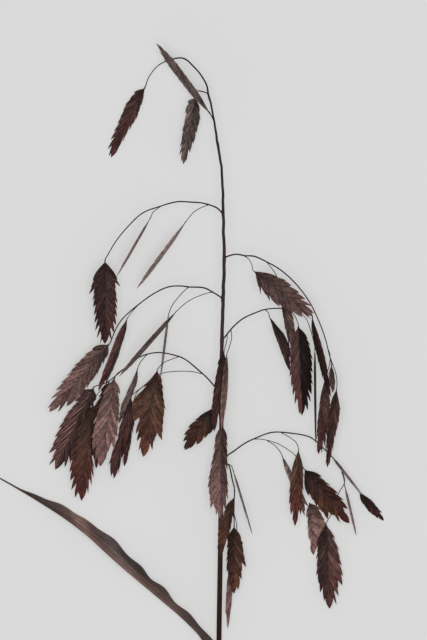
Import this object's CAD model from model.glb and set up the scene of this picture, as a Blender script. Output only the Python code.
"""Looks of a dried sea oat seed head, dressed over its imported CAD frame.

The seed head lies on a plain pale surface and the camera looks straight down on it. Every CAD
node has one finer piece here that stands for it: the culm, seven thread-like branches, the leaf
and forty-four flat spikelets of keeled, overlapping scales.

Tables and sizes are in millimetres: X across the seed head, Y along the culm towards its top,
Z up.
"""

import logging
import math
import random
from collections.abc import Callable, Sequence
from dataclasses import dataclass
from enum import Enum

import bpy
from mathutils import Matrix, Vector, noise

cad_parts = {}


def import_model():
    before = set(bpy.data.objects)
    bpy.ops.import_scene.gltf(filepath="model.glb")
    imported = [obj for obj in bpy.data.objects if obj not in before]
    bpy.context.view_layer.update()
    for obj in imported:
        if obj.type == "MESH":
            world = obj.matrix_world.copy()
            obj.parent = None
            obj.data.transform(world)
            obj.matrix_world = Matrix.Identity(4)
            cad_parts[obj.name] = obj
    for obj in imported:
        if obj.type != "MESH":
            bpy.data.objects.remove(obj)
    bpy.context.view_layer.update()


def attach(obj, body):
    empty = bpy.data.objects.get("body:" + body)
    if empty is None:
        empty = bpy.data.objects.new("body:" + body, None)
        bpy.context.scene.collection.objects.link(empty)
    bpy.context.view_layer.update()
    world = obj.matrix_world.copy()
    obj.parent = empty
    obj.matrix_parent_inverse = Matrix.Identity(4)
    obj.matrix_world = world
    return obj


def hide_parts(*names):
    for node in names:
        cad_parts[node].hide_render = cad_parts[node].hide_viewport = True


LOG = logging.getLogger("sea_oats")
MM = 0.001
SEED = 7013

# The middle of the whole seed head, in the millimetre tables below
MIDDLE = Vector((0.5, 0.1, 0.0))
UP = Vector((0.0, 0.0, 1.0))

# No point of a piece lies lower than this over the surface
LOWEST = 0.02

# Sides of a flat piece, right and left for someone who walks up it, and its upper and lower face
SIDES = (1.0, -1.0)
FACES = (1.0, -1.0)

# The middle of the random values of a piece, and the stored half of a lightness of 1
EVEN = 0.5
HALF_LIGHT = 0.5

Color = tuple[int, int, int]
Point = tuple[float, float, float]
Faces = list[tuple[int, ...]]
Teeth = list[tuple[Vector, Vector]]
Spot = tuple[Vector, Point, Point]
Socket = bpy.types.NodeSocket
Value = Socket | float


def linear(color: Color) -> tuple[float, float, float, float]:
    """Turn a screen colour into the linear colour that shaders take.

    Args:
        color: Red, green and blue, each 0 to 255.

    Returns:
        Linear red, green and blue, and an alpha of 1.
    """
    parts = [part / 255 for part in color]
    red, green, blue = (part / 12.92 if part <= 0.04045 else ((part + 0.055) / 1.055) ** 2.4
                        for part in parts)
    return red, green, blue, 1.0


def blend(low: float, high: float, share: float) -> float:
    """Return the value a share of the way from low to high."""
    return low + (high - low) * share


def ease(low: float, high: float, value: float) -> float:
    """Return a smooth 0 to 1 step as value goes from low to high."""
    share = min(1.0, max(0.0, (value - low) / (high - low)))
    return share * share * (3.0 - 2.0 * share)


def steps(count: int) -> list[float]:
    """Return a count of even steps from 0 to 1."""
    return [index / (count - 1) for index in range(count)]


def between(table: Sequence[tuple[float, float]], place: float) -> float:
    """Read a table in straight steps.

    Args:
        table: Entries of a place and a value, in order of place.
        place: Where it is read.

    Returns:
        The value at that place, or the last value past the end.
    """
    for (low, low_value), (high, high_value) in zip(table, table[1:]):
        if place <= high:
            return blend(low_value, high_value, max(0.0, place - low) / (high - low))
    return table[-1][1]


def held_up(point: Vector) -> Vector:
    """Return a point, raised to the lowest height allowed where it lies lower."""
    return Vector((point.x, point.y, max(point.z, LOWEST)))


def curve_point(points: Sequence[Vector], share: float) -> Vector:
    """Return the point of a quadratic curve with three control points."""
    rest = 1.0 - share
    return points[0] * rest * rest + points[1] * 2 * rest * share + points[2] * share * share


def smooth_route(points: Sequence[Sequence[float]], step: float,
                 held: bool = False) -> list[Vector]:
    """Run a smooth curve through given stations.

    Args:
        points: The stations: a place, and then any other values that change along the route.
        step: The wanted distance from one place to the next.
        held: Whether the curve sets out and ends as if its end stations stood there twice.

    Returns:
        The stations of the curve, the first and last given ones included.
    """
    knots = [Vector(point) for point in points]
    if len(knots) == 2:
        knots.insert(1, (knots[0] + knots[1]) / 2)
    first = knots[0] if held else knots[0] * 2 - knots[1]
    last = knots[-1] if held else knots[-1] * 2 - knots[-2]
    padded = [first, *knots, last]
    result = []
    for before, start, end, after in zip(padded, padded[1:], padded[2:], padded[3:]):
        count = max(1, round((Vector(end[:3]) - Vector(start[:3])).length / step))
        for index in range(count):
            t = index / count
            result.append(0.5 * (2 * start + (end - before) * t
                                 + (2 * before - 5 * start + 4 * end - after) * t ** 2
                                 + (3 * start - before - 3 * end + after) * t ** 3))
    result.append(knots[-1])
    return result


def flat_axes(along: Vector, roll: float) -> tuple[Vector, Vector]:
    """Find the axes of a flat piece.

    Args:
        along: The unit direction that it points in.
        roll: How far it is turned about that direction, in degrees.

    Returns:
        The unit direction across its flat, to the right, and the one out of its upper face.
    """
    level = along.cross(UP).normalized()
    upright = level.cross(along)
    turn = math.radians(roll)
    across = level * math.cos(turn) + upright * math.sin(turn)
    return across, upright * math.cos(turn) - level * math.sin(turn)


def direction(points: Sequence[Vector], index: int) -> Vector:
    """Return the unit direction of a row of points at one of them."""
    last = len(points) - 1
    return (points[min(index + 1, last)] - points[max(index - 1, 0)]).normalized()


def tube(points: Sequence[Vector], radii: Sequence[float], sides: int,
         grooves: Callable[[float], float] | None = None) -> tuple[list[Vector], Faces, list]:
    """Make a closed round rod along points.

    Args:
        points: The centre line.
        radii: The radius at each of its points.
        sides: How many sides the rod has.
        grooves: The radius scale by the share of a turn round the rod.

    Returns:
        The vertices, the faces, and per vertex its share along the rod and its share of a turn.
    """
    vertices = []
    places = []
    across = UP
    last = len(points) - 1
    for index, point in enumerate(points):
        along = direction(points, index)
        across = (across - along * across.dot(along)).normalized()
        third = along.cross(across)
        for side in range(sides):
            share = side / sides
            scale = grooves(share) if grooves else 1.0
            turn = math.tau * share
            offset = across * math.cos(turn) + third * math.sin(turn)
            vertices.append(point + offset * radii[index] * scale)
            places.append((index / last, share))
    faces: Faces = [tuple(reversed(range(sides)))]
    for ring in range(last):
        for side in range(sides):
            near = ring * sides + side
            beside = ring * sides + (side + 1) % sides
            faces.append((near, beside, beside + sides, near + sides))
    faces.append(tuple(range(last * sides, (last + 1) * sides)))
    return vertices, faces, places


def lens_faces(rows: int, columns: int) -> Faces:
    """Close a body made of two grids of points, back to back.

    Args:
        rows: How many rows each grid has.
        columns: How many points each row has.

    Returns:
        The faces of both grids and of the rim that joins them.
    """
    faces: Faces = []
    back = rows * columns
    for row in range(rows - 1):
        for column in range(columns - 1):
            a = row * columns + column
            faces.append((a, a + 1, a + columns + 1, a + columns))
            faces.append((back + a, back + a + columns, back + a + columns + 1, back + a + 1))
        a = row * columns
        faces.append((a, a + columns, back + a + columns, back + a))
        b = a + columns - 1
        faces.append((b, back + b, back + b + columns, b + columns))
    for column in range(columns - 1):
        faces.append((column, back + column, back + column + 1, column + 1))
        a = (rows - 1) * columns + column
        faces.append((a, a + 1, back + a + 1, back + a))
    return faces


def turned_over(faces: Faces) -> Faces:
    """Return faces that look the other way."""
    return [tuple(reversed(face)) for face in faces]


class Shell:
    """One mesh in the making: faces, and spots with a vertex in millimetres, a grain and a tint.

    A grain is the place along, the place across and a random value. A tint is the share up the
    piece, half the lightness and how deep it lies in a crease. All of them go from 0 to 1.
    """

    def __init__(self, name: str) -> None:
        """Start an empty mesh.

        Args:
            name: The name of the object that it becomes.
        """
        self.name = name
        self.spots: list[Spot] = []
        self.faces: Faces = []

    def add(self, spots: Sequence[Spot], faces: Faces) -> None:
        """Add one closed body.

        Args:
            spots: Its spots.
            faces: Its faces, by index into those spots.
        """
        start = len(self.spots)
        self.spots.extend(spots)
        self.faces.extend(tuple(start + corner for corner in face) for face in faces)

    def add_rod(self, path: Sequence[Vector], radii: Sequence[float], sides: int,
                grooves: Callable[[float], float] | None = None,
                share_up: Callable[[Vector], float] | None = None) -> None:
        """Add one closed round rod.

        Args:
            path: Its centre line.
            radii: The radius at each point of the path.
            sides: How many sides the rod has.
            grooves: The radius scale by the share of a turn round the rod.
            share_up: The share up the piece at a point. It is the share along the rod where
                this is left out.
        """
        vertices, faces, places = tube(path, radii, sides, grooves)
        self.add([(vertex, (along, turn, EVEN),
                   (share_up(vertex) if share_up else along, HALF_LIGHT, 0.0))
                  for vertex, (along, turn) in zip(vertices, places)], faces)

    def build(self, material: bpy.types.Material, sharp: float = 40.0) -> bpy.types.Object:
        """Make the linked mesh object.

        Args:
            material: What it is made of.
            sharp: The angle in degrees past which an edge isn't smooth.

        Returns:
            The object.
        """
        mesh = bpy.data.meshes.new(self.name)
        vertices, grain, tint = zip(*self.spots)
        mesh.from_pydata([(vertex - MIDDLE) * MM for vertex in vertices], [], self.faces)
        for name, values in (("grain", grain), ("tint", tint)):
            layer = mesh.color_attributes.new(name, "FLOAT_COLOR", "POINT")
            layer.data.foreach_set("color", [part for value in values for part in (*value, 0.0)])
        mesh.polygons.foreach_set("use_smooth", [True] * len(mesh.polygons))
        mesh.set_sharp_from_angle(angle=math.radians(sharp))
        mesh.materials.append(material)
        thing = bpy.data.objects.new(self.name, mesh)
        bpy.context.scene.collection.objects.link(thing)
        return thing


class Nodes:
    """A material's node tree, with short ways to add the nodes that the finishes use."""

    def __init__(self, name: str) -> None:
        """Start a new material.

        Args:
            name: Its name.
        """
        self.material = bpy.data.materials.new(name)
        self.material.use_nodes = True
        self.tree = self.material.node_tree
        self.shader = self.tree.nodes["Principled BSDF"]

    def add(self, kind: str, **settings: object) -> bpy.types.Node:
        """Add a node.

        Args:
            kind: The node's type.
            **settings: Its properties.

        Returns:
            The node.
        """
        node = self.tree.nodes.new(kind)
        for name, value in settings.items():
            setattr(node, name, value)
        return node

    def feed(self, target: Socket, value: Value | Color) -> None:
        """Join an output to an input, or set the input.

        Args:
            target: The input.
            value: An output, a plain number, or a colour of 0 to 255 a channel.
        """
        if isinstance(value, Socket):
            self.tree.links.new(value, target)
        elif isinstance(value, tuple):
            target.default_value = linear(value)[:len(target.default_value)]
        else:
            target.default_value = value

    def parts(self, attribute: str) -> tuple[Socket, ...]:
        """Return the three values of a point attribute.

        Args:
            attribute: Its name.

        Returns:
            Its values, in order.
        """
        source = self.add("ShaderNodeAttribute", attribute_name=attribute)
        split = self.add("ShaderNodeSeparateColor")
        self.feed(split.inputs["Color"], source.outputs["Color"])
        return tuple(split.outputs)

    def math(self, operation: str, first: Value, second: Value = 0.0) -> Socket:
        """Do a sum.

        Args:
            operation: Which sum.
            first: Its first value.
            second: Its second value, where it takes one.

        Returns:
            The result.
        """
        node = self.add("ShaderNodeMath", operation=operation)
        for target, value in zip(node.inputs, (first, second)):
            self.feed(target, value)
        return node.outputs["Value"]

    def times(self, first: Socket, *others: Value) -> Socket:
        """Multiply values.

        Args:
            first: The first one.
            *others: The ones that it is multiplied by, in order.

        Returns:
            The product.
        """
        for other in others:
            first = self.math("MULTIPLY", first, other)
        return first

    def wave(self, place: Socket, count: float) -> Socket:
        """Return a sine with a count of waves over a place from 0 to 1."""
        return self.math("SINE", self.times(place, math.tau * count))

    def ramp(self, source: Socket, low: float, high: float, low_to: float = 0.0,
             high_to: float = 1.0) -> Socket:
        """Take a value from one range to another, smoothly and held at the ends.

        Args:
            source: The value.
            low: The start of its range.
            high: The end of its range.
            low_to: What the start becomes.
            high_to: What the end becomes.

        Returns:
            The new value.
        """
        node = self.add("ShaderNodeMapRange", interpolation_type="SMOOTHSTEP")
        for name, value in (("Value", source), ("From Min", low), ("From Max", high),
                            ("To Min", low_to), ("To Max", high_to)):
            self.feed(node.inputs[name], value)
        return node.outputs["Result"]

    def mix(self, share: Value, first: Socket | Color, second: Socket | Color) -> Socket:
        """Mix two colours.

        Args:
            share: How much of the second one there is.
            first: One colour.
            second: The other colour.

        Returns:
            The mixed colour.
        """
        node = self.add("ShaderNodeMix", data_type="RGBA")
        self.feed(node.inputs["Factor"], share)
        colors = [target for target in node.inputs if target.type == "RGBA"]
        for target, value in zip(colors, (first, second)):
            self.feed(target, value)
        return next(output for output in node.outputs if output.type == "RGBA")

    def brighten(self, color: Socket | Color, by: Value) -> Socket:
        """Scale a colour.

        Args:
            color: The colour.
            by: What it is multiplied by.

        Returns:
            The scaled colour.
        """
        node = self.add("ShaderNodeVectorMath", operation="SCALE")
        self.feed(node.inputs["Vector"], color)
        self.feed(node.inputs["Scale"], by)
        return node.outputs["Vector"]

    def spots(self, size: float, detail: float = 3.0,
              stretch: Sequence[float] = (1.0, 1.0, 1.0)) -> Socket:
        """Add noise in the object's own space.

        Args:
            size: The size of its patches in millimetres.
            detail: How many finer layers it has.
            stretch: How much closer the patches lie along each axis.

        Returns:
            The noise, from 0 to 1.
        """
        place = self.add("ShaderNodeTexCoord")
        scaled = self.add("ShaderNodeMapping")
        self.feed(scaled.inputs["Vector"], place.outputs["Object"])
        scaled.inputs["Scale"].default_value = [part / (size * MM) for part in stretch]
        source = self.add("ShaderNodeTexNoise")
        self.feed(source.inputs["Vector"], scaled.outputs["Vector"])
        self.feed(source.inputs["Scale"], 1.0)
        self.feed(source.inputs["Detail"], detail)
        return source.outputs["Fac"]

    def bump(self, height: Socket, depth: float) -> None:
        """Raise the surface.

        Args:
            height: How far, from 0 to 1.
            depth: What a height of 1 is, in millimetres.
        """
        node = self.add("ShaderNodeBump")
        self.feed(node.inputs["Height"], height)
        self.feed(node.inputs["Strength"], 1.0)
        self.feed(node.inputs["Distance"], depth * MM)
        self.feed(self.shader.inputs["Normal"], node.outputs["Normal"])

    def surface(self, color: Socket, roughness: Value, gloss: float) -> None:
        """Set the shader.

        Args:
            color: Its base colour.
            roughness: How dull its shine is.
            gloss: How strong its shine is.
        """
        self.feed(self.shader.inputs["Base Color"], color)
        self.feed(self.shader.inputs["Roughness"], roughness)
        self.feed(self.shader.inputs["Specular IOR Level"], gloss)


class HuskTone(Enum):
    """Named dry colours of the spikelets."""

    RED_BROWN = "red_brown"
    PURPLE_BROWN = "purple_brown"
    PINK_BROWN = "pink_brown"
    GREY_BROWN = "grey_brown"
    OLIVE_BROWN = "olive_brown"
    RUST_BROWN = "rust_brown"
    BLACK_BROWN = "black_brown"
    STREAKED_BROWN = "streaked_brown"


@dataclass(frozen=True)
class HuskFinish:
    """Dry, satin husk: its colours at the foot and tip, its raised veins and its papery rim.

    Sizes of patches, blotches, specks and the relief are in millimetres.
    """

    tone: HuskTone
    foot: Color
    tip: Color
    vein: Color
    rim: Color
    patch: Color
    lines: float = 0.5
    mottle: float = 0.22
    gap: float = 0.34
    roughness: float = 0.50
    gloss: float = 0.11
    veins: float = 4.0
    blotch_size: float = 5.5
    blotch_share: float = 0.5
    patch_size: float = 2.6
    speck_size: float = 0.9
    rim_share: float = 0.5
    keel_share: float = 0.35
    uneven: float = 0.34
    root_shade: float = 0.55
    foot_shade: float = 0.72
    relief: float = 0.09

    def ridges(self, nodes: Nodes, along: Socket, across: Socket) -> Socket:
        """Add the raised veins, which run along a scale and fade at its ends.

        Args:
            nodes: The material's nodes.
            along: The place along the scale.
            across: The place across the scale.

        Returns:
            The height of the veins, from 0 to 1.
        """
        wobble = nodes.times(nodes.spots(1.6), 0.45)
        phase = nodes.math("ADD", nodes.times(across, self.veins), wobble)
        fade = nodes.times(nodes.ramp(along, 0.0, 0.35), nodes.ramp(along, 0.85, 1.0, 1.0, 0.2))
        return nodes.times(nodes.ramp(nodes.wave(phase, 1.0), 0.1, 1.0), fade)

    def make(self) -> bpy.types.Material:
        """Make the husk's material.

        Returns:
            The material, named for its tone.
        """
        nodes = Nodes(f"husk_{self.tone.value}")
        along, across, chance = nodes.parts("grain")
        share, light, crease = nodes.parts("tint")
        body = nodes.mix(nodes.ramp(share, 0.1, 0.95), self.foot, self.tip)
        blotch = nodes.ramp(nodes.spots(self.blotch_size, 4.0), 0.50, 0.72)
        body = nodes.mix(nodes.times(blotch, self.blotch_share), body, self.patch)
        ridges = self.ridges(nodes, along, across)
        body = nodes.mix(nodes.times(ridges, self.lines), body, self.vein)
        rim = nodes.times(nodes.ramp(across, 0.90, 1.0), nodes.ramp(along, 0.1, 0.5))
        body = nodes.mix(nodes.times(rim, self.rim_share), body, self.rim)
        keel = nodes.ramp(across, 0.0, 0.10, 1.0, 0.0)
        body = nodes.mix(nodes.times(keel, self.keel_share), body, self.vein)
        scale = nodes.times(
            nodes.ramp(nodes.spots(self.patch_size, 5.0), 0.25, 0.75, 0.72, 1.30),
            nodes.ramp(chance, 0.0, 1.0, 1.0 - self.uneven, 1.0 + self.uneven),
            nodes.ramp(along, 0.0, 0.55, self.root_shade, 1.0),
            nodes.ramp(nodes.spots(self.speck_size, 4.0), 0.3, 0.7, 1.0 - self.mottle,
                       1.0 + self.mottle),
            nodes.times(light, 2.0),
            nodes.ramp(crease, 0.1, 1.0, 1.0, self.gap),
            nodes.ramp(share, 0.0, 0.38, self.foot_shade, 1.04))
        rough = nodes.ramp(nodes.spots(1.2, 4.0), 0.2, 0.8, self.roughness - 0.1,
                           self.roughness + 0.14)
        nodes.surface(nodes.brighten(body, scale), rough, self.gloss)
        fine = nodes.times(nodes.spots(0.35, 3.0), 0.35)
        nodes.bump(nodes.math("ADD", ridges, fine), self.relief)
        return nodes.material


@dataclass(frozen=True)
class StalkFinish:
    """Dry stalk: lengthwise fibres in two browns, from its low end to its high end."""

    name: str
    low: Color
    high: Color
    fibre: Color
    roughness: float = 0.5
    gloss: float = 0.12
    fibres: int = 9
    relief: float = 0.05

    def make(self) -> bpy.types.Material:
        """Make the stalk's material.

        Returns:
            The material.
        """
        nodes = Nodes(self.name)
        around = nodes.parts("grain")[1]
        share, light = nodes.parts("tint")[:2]
        body = nodes.mix(share, self.low, self.high)
        strand = nodes.ramp(nodes.wave(around, self.fibres), -0.2, 1.0)
        showing = nodes.times(strand, nodes.ramp(share, 0.0, 0.8, 0.12, 0.32))
        body = nodes.mix(showing, body, self.fibre)
        patches = nodes.ramp(nodes.spots(3.0, 4.0), 0.25, 0.75, 0.75, 1.25)
        color = nodes.brighten(body, nodes.times(patches, nodes.times(light, 2.0)))
        nodes.surface(color, self.roughness, self.gloss)
        nodes.bump(nodes.math("ADD", strand, nodes.times(nodes.spots(0.5), 0.4)), self.relief)
        return nodes.material


@dataclass(frozen=True)
class LeafFinish:
    """Dry leaf: close pale veins along it, wider dark streaks and a pale midrib."""

    name: str
    body: Color
    dark: Color
    vein: Color
    roughness: float = 0.40
    gloss: float = 0.22
    veins: int = 13
    streaks: int = 4
    midrib: float = 0.045
    relief: float = 0.06

    def make(self) -> bpy.types.Material:
        """Make the leaf's material.

        Returns:
            The material.
        """
        nodes = Nodes(self.name)
        across = nodes.parts("grain")[1]
        light = nodes.parts("tint")[1]
        body = nodes.mix(nodes.ramp(nodes.spots(9.0, 4.0, (1.0, 1.0, 0.4)), 0.3, 0.7),
                         self.body, self.dark)
        strand = nodes.ramp(nodes.wave(across, self.veins), 0.0, 1.0)
        body = nodes.mix(nodes.times(strand, 0.35), body, self.vein)
        drift = nodes.math("ADD", across, nodes.times(nodes.spots(7.0), 0.35))
        streak = nodes.ramp(nodes.wave(drift, self.streaks), -0.6, 1.0)
        body = nodes.mix(nodes.times(streak, 0.5), self.dark, body)
        aside = nodes.math("ABSOLUTE", nodes.math("SUBTRACT", across, 0.5))
        middle = nodes.ramp(aside, 0.0, self.midrib, 1.0, 0.0)
        body = nodes.mix(nodes.times(middle, 0.5), body, self.vein)
        patches = nodes.ramp(nodes.spots(4.0, 5.0), 0.25, 0.75, 0.8, 1.2)
        color = nodes.brighten(body, nodes.times(patches, nodes.times(light, 2.0)))
        nodes.surface(color, self.roughness, self.gloss)
        nodes.bump(nodes.math("ADD", strand, nodes.times(nodes.spots(0.6), 0.4)), self.relief)
        return nodes.material


@dataclass(frozen=True)
class FloorFinish:
    """Plain matt pale surface that glows as a light table does."""

    name: str = "pale_floor"
    body: Color = (138, 138, 138)
    glow: float = 0.402
    roughness: float = 0.9
    gloss: float = 0.1

    def make(self) -> bpy.types.Material:
        """Make the surface's material.

        Returns:
            The material.
        """
        nodes = Nodes(self.name)
        patches = nodes.ramp(nodes.spots(40.0, 2.0), 0.2, 0.8, 0.992, 1.008)
        nodes.surface(nodes.brighten(self.body, patches), self.roughness, self.gloss)
        nodes.feed(nodes.shader.inputs["Emission Color"], (255, 255, 255))
        nodes.feed(nodes.shader.inputs["Emission Strength"], self.glow)
        return nodes.material


HUSK_FINISHES = (
    HuskFinish(HuskTone.RED_BROWN, (58, 37, 30), (84, 30, 26), (120, 76, 66), (112, 62, 56),
               (90, 66, 34), lines=0.40),
    HuskFinish(HuskTone.PURPLE_BROWN, (62, 42, 38), (66, 33, 32), (132, 100, 94),
               (102, 72, 69), (76, 46, 37), lines=0.32, gap=0.42),
    HuskFinish(HuskTone.STREAKED_BROWN, (60, 37, 33), (64, 31, 29), (140, 114, 107),
               (108, 78, 72), (70, 38, 31), lines=0.50, veins=2.4),
    HuskFinish(HuskTone.PINK_BROWN, (90, 68, 62), (104, 74, 72), (150, 122, 118),
               (134, 103, 101), (88, 70, 54), lines=0.28, mottle=0.36, gap=0.52),
    HuskFinish(HuskTone.GREY_BROWN, (87, 72, 68), (84, 67, 64), (138, 123, 119),
               (126, 109, 106), (72, 52, 48), lines=0.40, mottle=0.28),
    HuskFinish(HuskTone.OLIVE_BROWN, (70, 51, 37), (80, 32, 29), (126, 90, 76), (114, 72, 65),
               (52, 26, 23), lines=0.34, mottle=0.32),
    HuskFinish(HuskTone.RUST_BROWN, (60, 42, 31), (78, 44, 36), (122, 86, 68), (110, 68, 58),
               (44, 27, 22), lines=0.26, mottle=0.34, gap=0.42),
    HuskFinish(HuskTone.BLACK_BROWN, (46, 35, 32), (46, 27, 25), (94, 79, 75), (78, 58, 54),
               (60, 36, 31), lines=0.40),
)
CULM_FINISH = StalkFinish("culm_skin", (34, 9, 6), (44, 33, 30), (70, 56, 52), gloss=0.08)
THREAD_FINISH = StalkFinish("thread_skin", (42, 33, 31), (52, 42, 40), (78, 68, 65))
LEAF_FINISH = LeafFinish("leaf_skin", (91, 72, 65), (71, 51, 46), (121, 104, 99))


@dataclass(frozen=True)
class SpikeletSize:
    """Place and shape of one spikelet, in millimetres, with its roll in degrees.

    The tilt is the share by which its left face is lighter and its right face darker, as the
    foot points up. Plump is half its thickness at a middling width.
    """

    node: str
    foot: Point
    tip: Point
    width: float
    roll: float
    tone: HuskTone
    light: float
    tilt: float
    plump: float


RED = HuskTone.RED_BROWN
PURPLE = HuskTone.PURPLE_BROWN
PINK = HuskTone.PINK_BROWN
GREY = HuskTone.GREY_BROWN
OLIVE = HuskTone.OLIVE_BROWN
RUST = HuskTone.RUST_BROWN
BLACK = HuskTone.BLACK_BROWN
STREAKED = HuskTone.STREAKED_BROWN

# Spikelets: foot, tip, width across the flat, roll in degrees, tone, lightness, and the share by
# which the left face is lighter and the right one darker as the foot points up
SPIKELETS = {
    "spikelet_01": ((-23.0, 142.0, 2.2), (-39.7, 107.5, 0.3), 8.8, 0, PURPLE, 0.92, -0.05),
    "spikelet_02": ((2.5, 137.0, 9.5), (-3.4, 104.0, 6.5), 7.5, 8, GREY, 0.88, 0.35),
    "spikelet_03": ((9.3, 130.0, 15.5), (-16.8, 164.3, 13.5), 8.0, 60, GREY, 0.95, -0.1),
    "spikelet_04": ((-42.4, 54.7, 15.0), (-42.5, 14.0, 13.2), 12.8, 0, PURPLE, 0.56, -0.15),
    "spikelet_05": ((-20.0, 76.6, 14.5), (-36.7, 47.7, 12.0), 10.0, 84, GREY, 1.55, 0.1),
    "spikelet_06": ((-2.5, 74.5, 13.5), (-26.7, 41.5, 11.0), 10.0, 78, GREY, 1.75, 0.1),
    "spikelet_07": ((-31.6, 26.0, 13.8), (-45.8, -9.5, 12.6), 8.0, 50, PURPLE, 0.95, 0.3),
    "spikelet_08": ((-40.8, 13.6, 10.5), (-70.5, -20.0, 8.0), 12.0, 0, PINK, 0.82, 0.25),
    "spikelet_09": ((-48.5, -8.5, 6.6), (-67.5, -49.0, 4.4), 13.5, -4, STREAKED, 0.84, 0.4),
    "spikelet_10": ((-7.3, 29.7, 16.2), (-35.4, -2.2, 16.2), 9.0, 75, GREY, 0.85, 0.0),
    "spikelet_11": ((-11.0, 27.0, 7.0), (-14.8, -3.0, 5.6), 9.0, 88, GREY, 1.0, 0.0),
    "spikelet_12": ((-39.0, -5.0, 7.0), (-56.0, -38.5, -0.2), 10.0, 0, RED, 1.4, -0.1),
    "spikelet_13": ((-37.8, -4.0, 13.0), (-45.0, -47.4, 10.6), 13.0, 4, PINK, 1.2, -0.05),
    "spikelet_14": ((-46.5, -24.0, 7.0), (-47.0, -48.4, 4.6), 6.0, 0, PURPLE, 1.1, 0.0),
    "spikelet_15": ((-26.4, 1.0, 10.0), (-35.8, -26.0, 5.4), 5.0, 30, GREY, 1.5, 0.0),
    "spikelet_16": ((-29.5, -13.0, 9.5), (-38.2, -53.5, 7.5), 7.5, 6, PURPLE, 0.98, 0.1),
    "spikelet_17": ((-28.0, -14.5, 6.4), (-33.0, -47.4, 4.0), 7.0, 0, PURPLE, 0.72, 0.0),
    "spikelet_18": ((-16.4, 0.2, 13.6), (-23.3, -42.5, 9.4), 14.0, -3, RUST, 0.92, -0.15),
    "spikelet_19": ((-48.5, -16.5, 9.4), (-54.4, -64.5, 7.4), 12.3, 3, OLIVE, 0.95, -0.2),
    "spikelet_20": ((17.0, 9.8, 18.4), (12.0, -29.8, 17.4), 6.5, 0, PURPLE, 0.78, -0.1),
    "spikelet_21": ((18.3, 8.0, 22.8), (15.8, -29.0, 22.0), 6.5, 60, PINK, 0.95, -0.15),
    "spikelet_22": ((15.9, -26.5, 17.2), (15.0, -73.4, 14.4), 10.3, 0, PINK, 0.78, 0.25),
    "spikelet_23": ((12.5, -18.0, 11.0), (-2.7, -39.0, 8.0), 10.0, 0, RUST, 0.66, 0.0),
    "spikelet_24": ((21.9, -63.0, 14.2), (15.0, -92.7, 12.0), 6.0, 0, RUST, 1.0, 0.0),
    "spikelet_25": ((22.1, -77.7, 10.2), (21.9, -111.2, 6.6), 9.0, 0, RUST, 0.78, -0.2),
    "spikelet_26": ((20.8, -97.0, 4.6), (18.8, -128.5, 3.4), 5.6, 60, PINK, 1.1, 0.0),
    "spikelet_27": ((21.8, -50.0, 11.0), (31.2, -81.3, 9.0), 8.0, 86, GREY, 1.4, 0.0),
    "spikelet_28": ((32.5, 50.0, 17.0), (61.3, 28.0, 17.6), 11.0, 0, PINK, 0.68, -0.22),
    "spikelet_29": ((40.0, 27.0, 14.0), (50.5, 0.0, 8.6), 5.5, 15, BLACK, 1.25, 0.35),
    "spikelet_30": ((46.0, 38.5, 12.5), (53.5, 3.5, 8.0), 5.0, -10, PINK, 0.7, 0.0),
    "spikelet_31": ((70.7, 3.0, 14.6), (71.3, -10.5, 15.2), 3.4, 0, PINK, 0.68, 0.0),
    "spikelet_32": ((68.3, -76.9, 4.6), (69.9, -118.7, 4.4), 12.5, 0, PURPLE, 0.9, -0.42),
    "spikelet_33": ((54.2, 22.5, 13.0), (56.0, -21.8, 9.0), 11.5, 3, PURPLE, 0.58, 0.75),
    "spikelet_34": ((61.0, 27.4, 14.0), (70.3, -12.5, 12.6), 5.2, 0, PURPLE, 0.5, -0.25),
    "spikelet_35": ((62.4, 11.0, 11.8), (62.8, -35.5, 13.4), 5.4, 88, BLACK, 0.55, 0.0),
    "spikelet_36": ((67.5, -4.0, 9.6), (64.3, -41.3, 8.0), 7.0, 0, PURPLE, 1.15, 0.0),
    "spikelet_37": ((73.2, -9.0, 13.0), (68.6, -47.8, 12.0), 6.3, 5, PURPLE, 0.82, -0.3),
    "spikelet_38": ((85.0, -60.3, 4.2), (97.2, -74.7, -0.2), 6.0, 0, PURPLE, 0.52, 0.0),
    "spikelet_39": ((71.0, -42.3, 9.4), (86.0, -61.5, 9.2), 6.2, 85, GREY, 1.1, 0.0),
    "spikelet_40": ((77.7, -58.0, 5.2), (83.3, -82.0, 5.0), 7.4, 86, PINK, 1.3, 0.0),
    "spikelet_41": ((57.7, -49.2, 7.2), (79.8, -75.8, 6.2), 12.0, 0, RED, 0.56, 0.0),
    "spikelet_42": ((54.2, -39.7, 9.8), (52.5, -77.2, 9.0), 7.5, 2, OLIVE, 1.1, 0.1),
    "spikelet_43": ((46.5, -43.0, 5.4), (57.5, -72.0, 4.2), 5.6, 60, GREY, 1.35, 0.0),
    "spikelet_44": ((59.9, -65.8, 1.6), (61.9, -91.9, 0.5), 8.5, 0, PINK, 1.25, 0.05),
}

# Half thickness in millimetres of most spikelets, and of the flatter ones, mostly seen on edge
PLUMP = 0.85
THIN = {
    "spikelet_03": 0.60, "spikelet_05": 0.24, "spikelet_06": 0.26, "spikelet_10": 0.45,
    "spikelet_11": 0.30, "spikelet_27": 0.28, "spikelet_35": 0.38, "spikelet_39": 0.42,
    "spikelet_40": 0.34,
}

# Where the seed head's zero lies in the photograph, in pixels, and how many millimetres of the
# real seed head one pixel shows
PHOTO_ZERO = (190.0, 372.0)
PIXEL_SIZE = 0.5

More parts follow.
